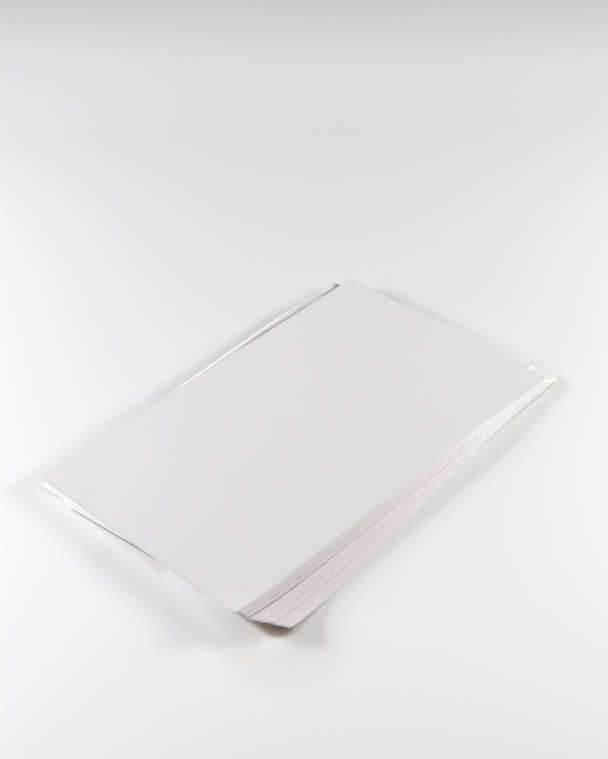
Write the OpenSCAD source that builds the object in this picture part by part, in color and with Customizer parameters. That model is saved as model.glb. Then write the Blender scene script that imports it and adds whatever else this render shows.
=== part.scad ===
// A loose stack of blank office paper, part of a ream out of its wrapper.
// Every sheet is one flat-cut rectangle and one solid. The sheets lie one on
// another in five packets, with a film of air between sheets and an open slit
// between packets. The stack was turned by hand, so that each lower sheet has
// swung a little further than the one above. Three sheets lie crooked, and the
// near corner of the whole stack curls up off the table and opens there.
// X runs along the long side of the top sheet, Y along its short side and
// Z up. The origin is on the table, under the middle of the stack.

/* [Paper] */
// Long side of one sheet
sheet_l = 355.6; // [297:0.1:420]
// Short side of one sheet
sheet_w = 215.9; // [210:0.1:297]
// Thickness of one sheet
sheet_t = 0.1; // [0.08:0.01:0.11]

/* [Stack] */
// Height from one sheet to the next inside a packet
pitch = 0.12; // [0.12:0.005:0.2]
// Height of the open slit between two packets
slit = 0.9; // [0:0.1:1.5]
// How much of the full fan the stack is turned by
fan = 1; // [0:0.1:1.5]
// Largest slip of a single sheet out of the smooth fan
slip = 0.3; // [0:0.1:1]
// Turn of the crooked sheets against the top one, in degrees
crooked_turn = 3.3; // [0:0.1:8]

/* [Curled corner] */
// Height that the tip of the lowest sheet is lifted by
curl_h = 9.2; // [0:0.1:15]
// How much more than the lowest sheet the top sheet bends up
curl_gain = 5.4; // [0:0.1:8]
// Length over which the corner rises to that height
curl_run = 43.3; // [40:0.1:80]
// Distance from the middle of the top sheet to the start of the curl
curl_start = 165; // [140:1:180]
// Compass direction of the curled corner
curl_dir = -128; // [-140:1:-120]

/* [Hidden] */
count = 60;
// The last sheet of each packet but the highest
packet_ends = [16, 28, 40, 50];
// The sheets that lie crooked
crooked = [38, 39, 40];

// The fan, by how many sheets lie above: the turn of a sheet against the top
// one in degrees, and how far its middle has slid along X and along Y.
turn_stops = [[0, 0], [9, 0.1], [19, 0.2], [23, 0.6], [31, 1.6], [43, 2.8],
    [59, 5.4]];
slide_x_stops = [[0, 0], [9, 1], [19, 2.3], [23, 3.4], [31, 4.8], [43, 8],
    [59, 8.5]];
slide_y_stops = [[0, 0], [9, -4.7], [19, -7.2], [23, -7.7], [31, -10.6],
    [43, -12.3], [59, -15.3]];

// A sheet is numbered from 1 at the bottom to count at the top
function above(n) = count - n;
function inner(n) = n > 1 && n < count ? 1 : 0;
function is_crooked(n) = len(search(n, crooked)) > 0;
function turn(n) = is_crooked(n) ? crooked_turn + 0.2 * (n - crooked[1])
    : fan * lookup(above(n), turn_stops) + 0.08 * slip * inner(n) * sin(n * 73);
function middle(n) = is_crooked(n) ? [4, 6.6 + 0.4 * (n - crooked[1])] : [
    fan * lookup(above(n), slide_x_stops) + slip * inner(n) * sin(n * 151),
    fan * lookup(above(n), slide_y_stops) + slip * inner(n) * sin(n * 97 + 40)];
function floor_of(n) = (n - 1) * pitch
    + slit * len([for (e = packet_ends) if (n > e) e]);

// Corners of a sheet in plan, and the middle of them all
signs = [[-1, -1], [1, -1], [1, 1], [-1, 1]];
function spun(v, a) = [v.x * cos(a) - v.y * sin(a), v.x * sin(a) + v.y * cos(a)];
function corner(n, s) = middle(n)
    + spun([s.x * sheet_l / 2, s.y * sheet_w / 2], turn(n));
all_x = [for (n = [1:count], s = signs) corner(n, s).x];
all_y = [for (n = [1:count], s = signs) corner(n, s).y];
mid_x = (max(all_x) + min(all_x)) / 2;
mid_y = (max(all_y) + min(all_y)) / 2;

// Side view of a sheet along the curl: level at first, then bending up
reach = 245;
steps = 16;
function curl_of(n) = curl_h + curl_gain * (n - 1) / (count - 1);
function rise(n, u) = curl_of(n) * pow(max(0, u - curl_start) / curl_run, 2);
function stops() = concat([-reach],
    [for (i = [0:steps]) curl_start + i * (reach - curl_start) / steps]);
function side_view(n) = concat(
    [for (u = stops()) [u, floor_of(n) + rise(n, u)]],
    [for (i = [steps + 1:-1:0]) let (u = stops()[i])
        [u, floor_of(n) + rise(n, u) + sheet_t]]);

// The bent surface that sheet n lies in
module layer(n) {
    rotate([0, 0, curl_dir])
        rotate([90, 0, 0])
            linear_extrude(height = 2 * reach, center = true)
                polygon(side_view(n));
}

// The cut outline of sheet n, as an upright block
module outline(n) {
    translate([middle(n).x, middle(n).y, -1])
        rotate([0, 0, turn(n)])
            translate([-sheet_l / 2, -sheet_w / 2, 0])
                cube([sheet_l, sheet_w, 80]);
}

// One sheet of paper, where it lies in the stack
module sheet(n) {
    color(n == count ? [0.93, 0.92, 0.92] : [0.90, 0.87, 0.86])
        translate([-mid_x, -mid_y, 0])
            intersection() {
                layer(n);
                outline(n);
            }
}

sheet(1);  // bottom_sheet
sheet(2);  // sheet_02
sheet(3);  // sheet_03
sheet(4);  // sheet_04
sheet(5);  // sheet_05
sheet(6);  // sheet_06
sheet(7);  // sheet_07
sheet(8);  // sheet_08
sheet(9);  // sheet_09
sheet(10);  // sheet_10
sheet(11);  // sheet_11
sheet(12);  // sheet_12
sheet(13);  // sheet_13
sheet(14);  // sheet_14
sheet(15);  // sheet_15
sheet(16);  // sheet_16
sheet(17);  // sheet_17
sheet(18);  // sheet_18
sheet(19);  // sheet_19
sheet(20);  // sheet_20
sheet(21);  // sheet_21
sheet(22);  // sheet_22
sheet(23);  // sheet_23
sheet(24);  // sheet_24
sheet(25);  // sheet_25
sheet(26);  // sheet_26
sheet(27);  // sheet_27
sheet(28);  // sheet_28
sheet(29);  // sheet_29
sheet(30);  // sheet_30
sheet(31);  // sheet_31
sheet(32);  // sheet_32
sheet(33);  // sheet_33
sheet(34);  // sheet_34
sheet(35);  // sheet_35
sheet(36);  // sheet_36
sheet(37);  // sheet_37
sheet(38);  // sheet_38
sheet(39);  // sheet_39
sheet(40);  // sheet_40
sheet(41);  // sheet_41
sheet(42);  // sheet_42
sheet(43);  // sheet_43
sheet(44);  // sheet_44
sheet(45);  // sheet_45
sheet(46);  // sheet_46
sheet(47);  // sheet_47
sheet(48);  // sheet_48
sheet(49);  // sheet_49
sheet(50);  // sheet_50
sheet(51);  // sheet_51
sheet(52);  // sheet_52
sheet(53);  // sheet_53
sheet(54);  // sheet_54
sheet(55);  // sheet_55
sheet(56);  // sheet_56
sheet(57);  // sheet_57
sheet(58);  // sheet_58
sheet(59);  // sheet_59
sheet(60);  // top_sheet
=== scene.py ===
"""Looks of a loose, fanned stack of blank office paper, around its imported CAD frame."""

import math

import bpy
import numpy as np
from mathutils import Matrix, Vector


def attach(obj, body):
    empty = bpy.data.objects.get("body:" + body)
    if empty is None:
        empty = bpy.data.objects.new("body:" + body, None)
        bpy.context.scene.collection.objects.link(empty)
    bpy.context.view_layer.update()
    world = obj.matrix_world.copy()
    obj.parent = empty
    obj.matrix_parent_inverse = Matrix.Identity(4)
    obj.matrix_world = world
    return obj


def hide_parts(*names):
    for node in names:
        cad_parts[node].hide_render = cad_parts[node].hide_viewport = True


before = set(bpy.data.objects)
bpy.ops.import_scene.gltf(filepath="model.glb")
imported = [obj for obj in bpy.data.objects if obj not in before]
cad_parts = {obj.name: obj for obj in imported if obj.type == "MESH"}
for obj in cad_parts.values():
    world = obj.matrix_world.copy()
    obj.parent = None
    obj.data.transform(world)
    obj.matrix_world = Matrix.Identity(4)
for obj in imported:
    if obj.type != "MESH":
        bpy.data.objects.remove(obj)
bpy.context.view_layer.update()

# ---------------------------------------------------------------- the stack
# The same layout as the CAD part, in millimetres, in the top sheet's own
# plan: x along its long side, y along its short side, origin at its middle.
LONG, SHORT, THICK = 355.6, 215.9, 0.1
PITCH, SLIT, SLIP = 0.12, 0.9, 0.3
COUNT = 60
PACKET_ENDS = (16, 28, 40, 50)
CROOKED = (38, 39, 40)
CROOKED_TURN, CROOKED_X, CROOKED_Y = 3.3, 4.0, 6.6
TURN = ((0, 0), (9, 0.1), (19, 0.2), (23, 0.6), (31, 1.6), (43, 2.8), (59, 5.4))
SLIDE_X = ((0, 0), (9, 1), (19, 2.3), (23, 3.4), (31, 4.8), (43, 8), (59, 8.5))
SLIDE_Y = ((0, 0), (9, -4.7), (19, -7.2), (23, -7.7), (31, -10.6), (43, -12.3), (59, -15.3))
CURL_H, CURL_RUN, CURL_START, CURL_DIR = 9.2, 43.3, 165.0, -128.0


def stop(table, k):
    return float(np.interp(k, [a for a, _ in table], [b for _, b in table]))


def sind(a):
    return math.sin(math.radians(a))


def turn_of(n):
    if n in CROOKED:
        return CROOKED_TURN + 0.2 * (n - CROOKED[1])
    inner = 1 if 1 < n < COUNT else 0
    return stop(TURN, COUNT - n) + 0.08 * SLIP * inner * sind(n * 73)


def middle_of(n):
    if n in CROOKED:
        return CROOKED_X, CROOKED_Y + 0.4 * (n - CROOKED[1])
    inner = 1 if 1 < n < COUNT else 0
    return (stop(SLIDE_X, COUNT - n) + SLIP * inner * sind(n * 151),
            stop(SLIDE_Y, COUNT - n) + SLIP * inner * sind(n * 97 + 40))


def plan(n, s, t):
    """Plan position of the point (s, t) of sheet n."""
    a = math.radians(turn_of(n))
    mx, my = middle_of(n)
    return s * math.cos(a) - t * math.sin(a) + mx, s * math.sin(a) + t * math.cos(a) + my


corners = [plan(n, i * LONG / 2, j * SHORT / 2)
           for n in range(1, COUNT + 1) for i, j in ((-1, -1), (1, -1), (1, 1), (-1, 1))]
MID_X = (max(c[0] for c in corners) + min(c[0] for c in corners)) / 2
MID_Y = (max(c[1] for c in corners) + min(c[1] for c in corners)) / 2
TOP_Z = (COUNT - 1) * PITCH + SLIT * len(PACKET_ENDS) + THICK


def bump01(d, r):
    """1 at distance 0, falling smoothly to 0 at distance r."""
    q = np.clip(d / r, 0, 1)
    return (1 - q * q) ** 2


def ramp(v, a, b):
    q = np.clip((v - a) / (b - a), 0, 1)
    return q * q * (3 - 2 * q)


def rise(x, y):
    """The curl that every sheet shares."""
    c = math.radians(CURL_DIR)
    u = x * math.cos(c) + y * math.sin(c)
    return CURL_H * (np.maximum(0, u - CURL_START) / CURL_RUN) ** 2


def east(x, y):
    """1 at the pivot corner of the fan, where the stack is pressed tight."""
    return bump01(np.hypot(0.72 * (x - 182), 1.5 * (y + 112)), 84)


def slit_height(j, x, y):
    """Open height of the slit above packet j, at a plan point."""
    south = bump01(np.hypot(x + 180, y + 122), 150)
    west = bump01(np.hypot(x + 182, y - 100), 120)
    north = bump01(np.hypot(x - 175, y - 108), 120)
    # towards the pivot corner the lower slits close and the upper ones take over
    half = ramp(x, -20, 90) * ramp(-y, -20, 80)
    h = SLIT
    if j == 0:
        h = h * (1 - 0.9 * west - 0.8 * half) + 0.6 * south
    elif j == 1:
        h = h * (1 - 0.3 * south - 0.9 * west - 0.8 * half)
    elif j == 2:
        h = h * (1 - 0.9 * west + 1.0 * half) + 1.0 * south + 0.3 * north
    else:
        h = h * (1 + 0.3 * west + 0.6 * half) + 0.2 * south
    return h * (1 - 0.97 * east(x, y))


def height(n, x, y):
    """Underside of sheet n above the table."""
    z = rise(x, y) + (n - 1) * (PITCH - 0.017 * east(x, y))
    for j, end in enumerate(PACKET_ENDS):
        if n > end:
            z = z + slit_height(j, x, y)
    if n >= 58:
        z = z + (0.45 + 0.3 * (n - 58)) * bump01(np.hypot(x + 176, y - 92), 46)
    # the short edge at the left lies a little off the table
    z = z + 0.4 * ramp(-x, 140, 178) * ramp(-y, -90, 40)
    # and so does the long edge at the right, but for the tight corner
    z = z + 0.5 * ramp(-y, 80, 124) * (1 - east(x, y))
    return z


def droop(n, x, y):
    """How far the free far corner of a crooked sheet hangs down."""
    if n not in CROOKED:
        return 0 * x
    free = np.maximum(0, y - 104.5)
    return 7.0 * ramp(x, 90, 178) * (1 - np.exp(-(free / 7.0) ** 1.6))


def painted_margin_light_and_shade(n, x, y):
    """Colour of the margin near the cut edge, with painted light and shade: paler and more neutral towards the
    tight corner, darker and pinker in the upper packets.
    """
    d = np.hypot(x - 182, y + 112)
    tight = bump01(d, 420)
    # painted shade: the margins of the upper packets, in shade in the fan, are darker; the next term varies the
    # tone at random from sheet to sheet
    base = 0.81 if n > PACKET_ENDS[3] else 0.84 if n > PACKET_ENDS[2] else 0.90
    base += 0.028 * sind(n * 139)
    # painted light: paler towards the tight corner, a little dimmer close to the corner itself
    tone = base + (0.96 - base) * tight - 0.11 * bump01(d, 95)
    pale = bump01(d, 260)
    if n == COUNT:
        return np.stack([0.79 * tone, 0.773 * tone, 0.778 * tone], -1)
    # painted light: the crooked sheets' margin is paler towards their far end
    if n in CROOKED:
        far = ramp(x, -70, 20)
        tone = tone + (0.92 - tone) * far
        right = ramp(-y, -40, 60) * far
        tone = tone * (1 - 0.04 * right)
        return np.stack([(0.945 - 0.015 * right) * tone, (0.89 + 0.03 * far) * tone,
                         (0.89 + 0.01 * far + 0.02 * right) * tone], -1)
    if n > PACKET_ENDS[3]:
        return np.stack([0.955 * tone, (0.868 + 0.072 * pale) * tone, (0.868 + 0.076 * pale) * tone], -1)
    # painted light: the left end, where the side of the stack takes the bluish light from the left, is pale and a
    # little bluish
    west = bump01(np.hypot(x + 180, y - 90), 130)
    tone = tone + (0.90 - tone) * west
    return np.stack([0.945 * tone, (0.878 + 0.054 * np.maximum(pale, west)) * tone,
                     (0.880 + 0.056 * pale + 0.08 * west) * tone], -1)


def shade(n, x, y):
    """Painted shade: a dimmer band on a crooked sheet, close under the long edge of the sheets above."""
    if n not in CROOKED:
        return 1 + 0 * x
    border = 112.0 + 0.024 * x + 0.2 * np.maximum(0, x - 138)
    return 1 - 0.62 * ramp(border - y, -1.0, 1.0) * ramp(x, -10, 90) * ramp(y, 98, 104)


def lines(length, count, ends):
    """Grid lines along one side, closer together near both ends."""
    q = np.linspace(-1, 1, count + 1)
    w = np.sign(q) * (np.abs(q) * (1 - ends) + ends * (1 - (1 - np.abs(q)) ** 2.0))
    return w * length / 2


def sheet_object(n, name, nx, ny):
    s = lines(LONG, nx, 0.45)
    t = lines(SHORT, ny, 0.45)
    S, T = np.meshgrid(s, t, indexing="ij")
    # a cut edge is never quite straight: a few hundredths of a millimetre
    es = np.where(np.abs(S) > LONG / 2 - 0.01, 0.05 * np.sin(T * 0.11 + n * 2.1), 0)
    et = np.where(np.abs(T) > SHORT / 2 - 0.01, 0.05 * np.sin(S * 0.083 + n * 1.7), 0)
    X, Y = plan(n, S + es, T + et)
    Z = height(n, X, Y) - droop(n, X, Y)
    Z = np.maximum(Z, 0.12 * (n - CROOKED[0]) + 0.02 if n in CROOKED else 0.0)
    low = np.stack([X - MID_X, Y - MID_Y, Z], -1).reshape(-1, 3)
    up = low + np.array([0, 0, THICK])
    co = np.concatenate([up, low]) / 1000.0
    m = (nx + 1) * (ny + 1)
    idx = np.arange(m).reshape(nx + 1, ny + 1)
    a, b, c, d = idx[:-1, :-1], idx[1:, :-1], idx[1:, 1:], idx[:-1, 1:]
    top = np.stack([a, b, c, d], -1).reshape(-1, 4)
    bot = top[:, ::-1] + m
    ring = np.concatenate([idx[:, 0], idx[-1, 1:], idx[-2::-1, -1], idx[0, -2:0:-1]])
    nxt = np.roll(ring, -1)
    side = np.stack([ring + m, nxt + m, nxt, ring], -1)
    faces = np.concatenate([top, bot, side])
    me = bpy.data.meshes.new(name)
    me.vertices.add(len(co))
    me.vertices.foreach_set("co", co.astype(np.float32).ravel())
    me.loops.add(faces.size)
    me.loops.foreach_set("vertex_index", faces.astype(np.int32).ravel())
    me.polygons.add(len(faces))
    me.polygons.foreach_set("loop_start", np.arange(0, faces.size, 4, dtype=np.int32))
    me.polygons.foreach_set("loop_total", np.full(len(faces), 4, dtype=np.int32))
    mats = np.zeros(len(faces), dtype=np.int32)
    mats[len(top) + len(bot):] = 1
    me.polygons.foreach_set("material_index", mats)
    smooth = np.ones(len(faces), dtype=bool)
    smooth[len(top) + len(bot):] = n < COUNT
    me.polygons.foreach_set("use_smooth", smooth)
    me.update(calc_edges=True)
    # the border between a face and the cut edge is sharp on the top sheet; in the
    # fan the edges are far thinner than a pixel, and a soft border blends them
    ends = np.zeros(len(me.edges) * 2, dtype=np.int32)
    me.edges.foreach_get("vertices", ends)
    ends = np.sort(ends.reshape(-1, 2), axis=1).astype(np.int64)
    pairs = np.sort(np.stack([ring, nxt], -1), axis=1).astype(np.int64)
    key = 4 * m
    border = np.concatenate([pairs[:, 0] * key + pairs[:, 1], (pairs[:, 0] + m) * key + pairs[:, 1] + m])
    sharp = np.isin(ends[:, 0] * key + ends[:, 1], border)
    if n == COUNT:
        me.edges.foreach_set("use_edge_sharp", sharp)
    # distance in from the cut edge, in millimetres, for the tint of the margin, which carries painted light and
    # shade
    rim = np.minimum(LONG / 2 - np.abs(S), SHORT / 2 - np.abs(T))
    # near the tight corner and on the crooked sheets this painted margin reaches further in
    if n < COUNT:
        rim = rim / (1 + 4 * bump01(np.hypot(X - 182, Y + 112), 150) + (3 if n in CROOKED else 0))
    rim = rim.reshape(-1)
    at = me.attributes.new("rim", "FLOAT", "POINT")
    at.data.foreach_set("value", np.concatenate([rim, rim]).astype(np.float32))
    painted_margin_colour = painted_margin_light_and_shade(n, X, Y).reshape(-1, 3)
    at = me.attributes.new("margin", "FLOAT_VECTOR", "POINT")
    at.data.foreach_set("vector", np.concatenate([painted_margin_colour, painted_margin_colour]).astype(np.float32).ravel())
    dim = (shade(n, X, Y) + 0 * X).reshape(-1)
    at = me.attributes.new("shade", "FLOAT", "POINT")
    at.data.foreach_set("value", np.concatenate([dim, dim]).astype(np.float32))
    me.validate()
    obj = bpy.data.objects.new(name, me)
    bpy.context.scene.collection.objects.link(obj)
    return obj


# ---------------------------------------------------------------- materials
def node(tree, kind, x, y, **values):
    nd = tree.nodes.new(kind)
    nd.location = (x, y)
    for k, v in values.items():
        setattr(nd, k, v)
    return nd


def paper(name, colour, grain):
    """Uncoated paper: fibre grain, faint cloudiness, a margin colour near the cut edge with painted light and
    shade, and painted shade from the shade attribute.
    """
    mat = bpy.data.materials.new(name)
    mat.use_nodes = True
    tr = mat.node_tree
    tr.nodes.clear()
    out = node(tr, "ShaderNodeOutputMaterial", 900, 0)
    bs = node(tr, "ShaderNodeBsdfPrincipled", 620, 0)
    tr.links.new(bs.outputs["BSDF"], out.inputs["Surface"])
    bs.inputs["Roughness"].default_value = 0.88
    bs.inputs["Specular IOR Level"].default_value = 0.22
    tc = node(tr, "ShaderNodeTexCoord", -1100, 0)
    # cloudy formation of the sheet, 8 to 20 mm across
    cloud = node(tr, "ShaderNodeTexNoise", -800, 260)
    cloud.inputs["Scale"].default_value = 70.0
    cloud.inputs["Detail"].default_value = 4.0
    cloud.inputs["Roughness"].default_value = 0.6
    tr.links.new(tc.outputs["Object"], cloud.inputs["Vector"])
    # fibres, drawn out along the grain of the sheet
    mp = node(tr, "ShaderNodeMapping", -980, -120)
    mp.inputs["Scale"].default_value = (900.0, 2600.0, 2600.0)
    tr.links.new(tc.outputs["Object"], mp.inputs["Vector"])
    fib = node(tr, "ShaderNodeTexNoise", -800, -120)
    fib.inputs["Scale"].default_value = 1.0
    fib.inputs["Detail"].default_value = 3.0
    tr.links.new(mp.outputs["Vector"], fib.inputs["Vector"])
    # near the cut edge the colour is mixed towards the margin attribute: painted light and shade
    rim = node(tr, "ShaderNodeAttribute", -800, 520)
    rim.attribute_name = "rim"
    near = node(tr, "ShaderNodeMapRange", -600, 520)
    near.inputs["From Min"].default_value = 0.0
    near.inputs["From Max"].default_value = 3.0
    near.inputs["To Min"].default_value = 1.0
    near.inputs["To Max"].default_value = 0.0
    tr.links.new(rim.outputs["Fac"], near.inputs["Value"])
    tint = node(tr, "ShaderNodeMix", -360, 360, data_type="RGBA")
    tint.inputs["A"].default_value = (*colour, 1)
    tr.links.new(near.outputs["Result"], tint.inputs["Factor"])
    mt = node(tr, "ShaderNodeAttribute", -800, 760)
    mt.attribute_name = "margin"
    tr.links.new(mt.outputs["Vector"], tint.inputs["B"])
    tone = node(tr, "ShaderNodeMapRange", -560, 200)
    tone.inputs["To Min"].default_value = 1.0 - grain
    tone.inputs["To Max"].default_value = 1.0 + grain
    tr.links.new(cloud.outputs["Fac"], tone.inputs["Value"])
    tone2 = node(tr, "ShaderNodeMapRange", -560, -60)
    tone2.inputs["To Min"].default_value = 1.0 - 0.6 * grain
    tone2.inputs["To Max"].default_value = 1.0 + 0.6 * grain
    tr.links.new(fib.outputs["Fac"], tone2.inputs["Value"])
    mul = node(tr, "ShaderNodeMath", -360, 80, operation="MULTIPLY")
    tr.links.new(tone.outputs["Result"], mul.inputs[0])
    tr.links.new(tone2.outputs["Result"], mul.inputs[1])
    # painted shade: the shade attribute dims the colour
    dim = node(tr, "ShaderNodeAttribute", -560, -240)
    dim.attribute_name = "shade"
    mul2 = node(tr, "ShaderNodeMath", -240, 40, operation="MULTIPLY")
    tr.links.new(mul.outputs["Value"], mul2.inputs[0])
    tr.links.new(dim.outputs["Fac"], mul2.inputs[1])
    col = node(tr, "ShaderNodeVectorMath", -120, 260, operation="SCALE")
    tr.links.new(tint.outputs["Result"], col.inputs[0])
    tr.links.new(mul2.outputs["Value"], col.inputs["Scale"])
    tr.links.new(col.outputs["Vector"], bs.inputs["Base Color"])
    bp = node(tr, "ShaderNodeBump", 300, -220)
    bp.inputs["Strength"].default_value = 0.10
    bp.inputs["Distance"].default_value = 0.00004
    tr.links.new(fib.outputs["Fac"], bp.inputs["Height"])
    tr.links.new(bp.outputs["Normal"], bs.inputs["Normal"])
    return mat


face_top = paper("paper_face_top", (0.735, 0.720, 0.727), 0.010)
face = paper("paper_face", (0.74, 0.718, 0.718), 0.012)
# painted light: the inner sheets' cut edges are lighter and pinker than their faces, which lightens the fanned
# side of the stack
edge = paper("paper_cut_edge", (0.90, 0.85, 0.85), 0.03)
edge_top = paper("paper_cut_edge_top", (0.72, 0.70, 0.705), 0.03)

# ---------------------------------------------------------------- the sheets
names = ["bottom_sheet"] + ["sheet_%02d" % i for i in range(2, COUNT)] + ["top_sheet"]
for n, cad_name in enumerate(names, start=1):
    fine = n in (1, COUNT)
    obj = sheet_object(n, "paper_" + cad_name, 120 if fine else 64, 80 if fine else 44)
    obj.data.materials.append(face_top if n == COUNT else face)
    obj.data.materials.append(edge_top if n == COUNT else edge)
    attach(obj, "root")
    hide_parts(cad_name)

# ---------------------------------------------------------------- the floor
me = bpy.data.meshes.new("floor")
R = 4.0
me.from_pydata([(-R, -R, 0), (R, -R, 0), (R, R, 0), (-R, R, 0)], [], [(0, 1, 2, 3)])
floor = bpy.data.objects.new("floor", me)
bpy.context.scene.collection.objects.link(floor)
# white table top: its tone drifts a little over the picture, as in the photo
fm = bpy.data.materials.new("floor_white")
fm.use_nodes = True
ft = fm.node_tree
fb = ft.nodes["Principled BSDF"]
fb.inputs["Roughness"].default_value = 0.6
fb.inputs["Specular IOR Level"].default_value = 0.2
fc = node(ft, "ShaderNodeTexCoord", -1500, 0)
fr = node(ft, "ShaderNodeMapping", -1300, 0)
fr.inputs["Rotation"].default_value = (0, 0, math.radians(45))
fr.inputs["Location"].default_value = (0, 0, 0)
ft.links.new(fc.outputs["Object"], fr.inputs["Vector"])
fx = node(ft, "ShaderNodeSeparateXYZ", -1100, 0)
ft.links.new(fr.outputs["Vector"], fx.inputs["Vector"])


def calc(op, a, b=None):
    nd = node(ft, "ShaderNodeMath", -900, 0, operation=op)
    for sock, v in zip(nd.inputs, (a, b)):
        if isinstance(v, (int, float)):
            sock.default_value = v
        elif v is not None:
            ft.links.new(v, sock)
    return nd.outputs["Value"]


# painted light: the smooth tone below makes the table lighter and darker over the picture, in place of the uneven
# light falling on it
gx = fx.outputs["X"]
gy = fx.outputs["Y"]
gx = calc("MINIMUM", calc("MAXIMUM", gx, -0.6), 0.6)
gv = calc("DIVIDE", gy, calc("ADD", 1.0, calc("MAXIMUM", gy, 0.0)))
gv = calc("MINIMUM", calc("MAXIMUM", gv, -0.4), 0.5)
x2, v2 = calc("MULTIPLY", gx, gx), calc("MULTIPLY", gv, gv)
tone = None
for weight, term in ((0.0769, gx), (-0.3523, gv), (-0.0078, x2), (0.1633, calc("MULTIPLY", gx, gv)),
                     (0.189, v2), (2.6506, calc("MULTIPLY", v2, gv)), (-0.6892, calc("MULTIPLY", x2, gv))):
    part = calc("MULTIPLY", term, weight)
    tone = part if tone is None else calc("ADD", tone, part)
tone = calc("ADD", tone, 0.9535)
# painted light: the far table is lightened further
tone = calc("ADD", tone, calc("MULTIPLY", calc("MAXIMUM", calc("SUBTRACT", gv, 0.34), 0.0), 1.3))
tone = calc("MINIMUM", tone, 1.1)
# under the lifted corner the table is hidden from the light of the room: a dark
# patch along a line below the overhang, in the top sheet's plan
A, B = (-157.0, -106.0), (-156.5, -126.0)
ax, ay = (A[0] - MID_X) / 1000, (A[1] - MID_Y) / 1000
bx, by = (B[0] - A[0]) / 1000, (B[1] - A[1]) / 1000
sep = node(ft, "ShaderNodeSeparateXYZ", -1100, -300)
ft.links.new(fc.outputs["Object"], sep.inputs["Vector"])
qx, qy = calc("SUBTRACT", sep.outputs["X"], ax), calc("SUBTRACT", sep.outputs["Y"], ay)
along = calc("ADD", calc("MULTIPLY", qx, bx / (bx * bx + by * by)), calc("MULTIPLY", qy, by / (bx * bx + by * by)))
along = calc("MINIMUM", calc("MAXIMUM", along, 0.0), 1.0)
ex, ey = calc("SUBTRACT", qx, calc("MULTIPLY", along, bx)), calc("SUBTRACT", qy, calc("MULTIPLY", along, by))
off = calc("SQRT", calc("ADD", calc("MULTIPLY", ex, ex), calc("MULTIPLY", ey, ey)))
fall = node(ft, "ShaderNodeMapRange", -600, -300, interpolation_type="SMOOTHSTEP")
fall.inputs["From Min"].default_value = 0.0075
fall.inputs["From Max"].default_value = 0.0130
fall.inputs["To Min"].default_value = 0.50
fall.inputs["To Max"].default_value = 1.0
ft.links.new(off, fall.inputs["Value"])
tone = calc("MULTIPLY", tone, fall.outputs["Result"])
# and a narrow one in the gap below the short edge of the lowest sheet
A, B = plan(1, -LONG / 2 - 0.5, 106.0), plan(1, -LONG / 2 - 0.5, -22.0)
ax, ay = (A[0] - MID_X) / 1000, (A[1] - MID_Y) / 1000
bx, by = (B[0] - A[0]) / 1000, (B[1] - A[1]) / 1000
qx, qy = calc("SUBTRACT", sep.outputs["X"], ax), calc("SUBTRACT", sep.outputs["Y"], ay)
along = calc("ADD", calc("MULTIPLY", qx, bx / (bx * bx + by * by)), calc("MULTIPLY", qy, by / (bx * bx + by * by)))
along = calc("MINIMUM", calc("MAXIMUM", along, 0.0), 1.0)
ex, ey = calc("SUBTRACT", qx, calc("MULTIPLY", along, bx)), calc("SUBTRACT", qy, calc("MULTIPLY", along, by))
off = calc("SQRT", calc("ADD", calc("MULTIPLY", ex, ex), calc("MULTIPLY", ey, ey)))
width = calc("ADD", 0.0008, calc("MULTIPLY", along, 0.0004))
off = calc("DIVIDE", off, width)
slim = node(ft, "ShaderNodeMapRange", -600, -500, interpolation_type="SMOOTHSTEP")
slim.inputs["From Min"].default_value = 0.7
slim.inputs["From Max"].default_value = 1.2
slim.inputs["To Min"].default_value = 0.52
slim.inputs["To Max"].default_value = 1.0
ft.links.new(off, slim.inputs["Value"])
# it starts and ends softly
fade = calc("MINIMUM", calc("MULTIPLY", along, 20.0), calc("MULTIPLY", calc("SUBTRACT", 1.0, along), 3.5))
fade = calc("MINIMUM", fade, 1.0)
dark = calc("MULTIPLY", calc("SUBTRACT", 1.0, slim.outputs["Result"]), fade)
tone = calc("MULTIPLY", tone, calc("SUBTRACT", 1.0, dark))


def patch(A, B, near, far, factor):
    """Scales the table's tone along a line of the top sheet's plan, out to far metres."""
    ax, ay = (A[0] - MID_X) / 1000, (A[1] - MID_Y) / 1000
    bx, by = (B[0] - A[0]) / 1000, (B[1] - A[1]) / 1000
    l2 = bx * bx + by * by
    qx, qy = calc("SUBTRACT", sep.outputs["X"], ax), calc("SUBTRACT", sep.outputs["Y"], ay)
    t = calc("ADD", calc("MULTIPLY", qx, bx / l2), calc("MULTIPLY", qy, by / l2))
    t = calc("MINIMUM", calc("MAXIMUM", t, 0.0), 1.0)
    ex, ey = calc("SUBTRACT", qx, calc("MULTIPLY", t, bx)), calc("SUBTRACT", qy, calc("MULTIPLY", t, by))
    mr = node(ft, "ShaderNodeMapRange", -600, -600, interpolation_type="SMOOTHSTEP")
    mr.inputs["From Min"].default_value = near
    mr.inputs["From Max"].default_value = far
    mr.inputs["To Min"].default_value = factor
    mr.inputs["To Max"].default_value = 1.0
    ft.links.new(calc("SQRT", calc("ADD", calc("MULTIPLY", ex, ex), calc("MULTIPLY", ey, ey))), mr.inputs["Value"])
    return calc("MULTIPLY", tone, mr.outputs["Result"])


# close to the lifted edges the table takes some light that the paper throws
# back, and the shadows at the left and behind the long side are darker further out
tone = patch(plan(1, -LONG / 2 - 3.0, -8.0), plan(1, -LONG / 2 - 3.0, -86.0), 0.003, 0.015, 1.15)
tone = patch(plan(1, -LONG / 2 - 21.0, 50.0), plan(1, -LONG / 2 - 27.0, -82.0), 0.003, 0.020, 0.945)
tone = patch(plan(39, -38.0, SHORT / 2 + 7.0), plan(39, 110.0, SHORT / 2 + 9.0), 0.002, 0.020, 0.95)
tone = patch(plan(39, LONG / 2 + 4.0, 40.0), plan(39, LONG / 2 + 4.0, -90.0), 0.004, 0.012, 1.06)
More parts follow.
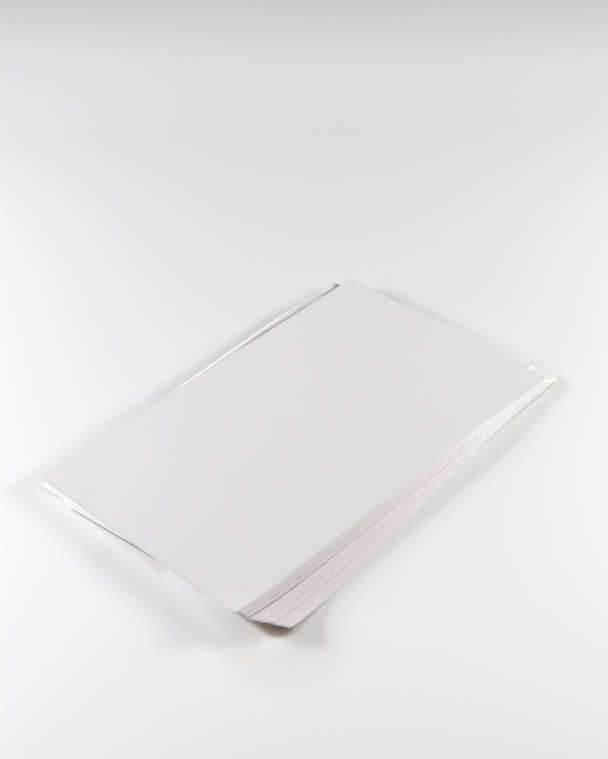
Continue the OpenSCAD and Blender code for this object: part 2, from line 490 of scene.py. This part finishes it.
# painted shade: the table round that corner is a little dimmer and warmer than the rest
wx = calc("SUBTRACT", sep.outputs["X"], (-161.0 - MID_X) / 1000)
wy = calc("SUBTRACT", sep.outputs["Y"], (-136.0 - MID_Y) / 1000)
wide = node(ft, "ShaderNodeMapRange", -600, -700, interpolation_type="SMOOTHSTEP")
wide.inputs["From Min"].default_value = 0.010
wide.inputs["From Max"].default_value = 0.060
wide.inputs["To Min"].default_value = 1.0
wide.inputs["To Max"].default_value = 0.0
ft.links.new(calc("SQRT", calc("ADD", calc("MULTIPLY", wx, wx), calc("MULTIPLY", wy, wy))), wide.inputs["Value"])
painted_corner_shade = node(ft, "ShaderNodeMix", -500, -100, data_type="RGBA")
painted_corner_shade.inputs["A"].default_value = (0.863, 0.865, 0.868, 1)
painted_corner_shade.inputs["B"].default_value = (0.80, 0.785, 0.76, 1)
ft.links.new(wide.outputs["Result"], painted_corner_shade.inputs["Factor"])
# painted shadow: under the lifted corner the same dark patch also turns the table dark brown
deep = node(ft, "ShaderNodeMix", -400, -100, data_type="RGBA")
deep.inputs["A"].default_value = (0.80, 0.56, 0.40, 1)
ft.links.new(painted_corner_shade.outputs["Result"], deep.inputs["B"])
ft.links.new(fall.outputs["Result"], deep.inputs["Factor"])
fs = node(ft, "ShaderNodeVectorMath", -300, 0, operation="SCALE")
ft.links.new(deep.outputs["Result"], fs.inputs[0])
ft.links.new(tone, fs.inputs["Scale"])
ft.links.new(fs.outputs["Vector"], fb.inputs["Base Color"])
me.materials.append(fm)

# ---------------------------------------------------------------- the camera
# Solved from the edges of the top sheet in the photo, with the plane of the
# top sheet as its ground and the middle of that sheet as its origin.
F_PX, PITCH_DEG, YAW, DIST, TX, TY, ROLL = 1300.0, 38.1, 45.0, 1078.0, 3.0, 56.0, 2.4
pa, ro = math.radians(PITCH_DEG), math.radians(ROLL)
fwd = Vector((0, math.cos(pa), -math.sin(pa)))
right = Vector((1, 0, 0))
up = Vector((0, math.sin(pa), math.cos(pa)))
R2 = math.cos(ro) * right - math.sin(ro) * up
U2 = math.sin(ro) * right + math.cos(ro) * up
pos = Vector((TX, TY, 0)) - fwd * DIST
back = Matrix.Rotation(math.radians(-YAW), 3, "Z")
pos, R2, U2, fwd = back @ pos, back @ R2, back @ U2, back @ fwd
pos = (pos + Vector((-MID_X, -MID_Y, TOP_Z))) / 1000.0
cam_data = bpy.data.cameras.new("camera")
cam = bpy.data.objects.new("camera", cam_data)
bpy.context.scene.collection.objects.link(cam)
rot = Matrix((R2, U2, -fwd)).transposed().to_4x4()
cam.matrix_world = Matrix.Translation(pos) @ rot
cam_data.sensor_fit = "AUTO"
cam_data.sensor_width = 36.0
cam_data.lens = F_PX / 759.0 * 36.0
cam_data.clip_start = 0.05
cam_data.clip_end = 30.0
bpy.context.scene.camera = cam


# ---------------------------------------------------------------- the lights
def world_point(v):
    """A point in the camera's ground frame (x right, y away), in metres."""
    w = back @ Vector(v)
    return w


def area(name, at, target, sx, sy, watts, colour=(1, 1, 1)):
    ld = bpy.data.lights.new(name, "AREA")
    ld.shape = "RECTANGLE"
    ld.size, ld.size_y = sx, sy
    ld.energy = watts
    ld.color = colour
    ob = bpy.data.objects.new(name, ld)
    bpy.context.scene.collection.objects.link(ob)
    p, q = world_point(at), world_point(target)
    ob.matrix_world = Matrix.Translation(p) @ (q - p).to_track_quat("-Z", "Y").to_matrix().to_4x4()
    return ob


def low_light(name, azimuth, watts, colour):
    """A soft box low over the table, 1.1 m from the stack."""
    a, e, d = math.radians(azimuth), math.radians(20), 1.1
    at = (d * math.cos(e) * math.cos(a), d * math.cos(e) * math.sin(a), d * math.sin(e))
    area(name, at, (0, 0, 0), 0.33, 0.22, watts, colour)


low_light("soft_right", 5, 7.9, (1.0, 0.995, 0.965))
low_light("soft_left", 168, 9.5, (0.995, 0.995, 1.035))
# a weak one, almost level with the table, lights the short side of the stack
a, e, d = math.radians(205), math.radians(5.5), 0.9
area("low_left", (d * math.cos(e) * math.cos(a), d * math.cos(e) * math.sin(a), d * math.sin(e)),
     (-0.15, 0.0, 0), 0.30, 0.07, 1.5, (0.98, 0.98, 1.05))
area("soft_top", (0.0, -0.2, 2.2), (0, 0, 0), 2.4, 2.4, 24.5)

world = bpy.data.worlds.new("world")
bpy.context.scene.world = world
world.use_nodes = True
bg = world.node_tree.nodes["Background"]
bg.inputs["Color"].default_value = (1, 1, 1, 1)
bg.inputs["Strength"].default_value = 0.15

scene = bpy.context.scene
scene.view_settings.view_transform = "Standard"
scene.view_settings.look = "None"
scene.view_settings.exposure = 0.0
scene.view_settings.gamma = 1.0
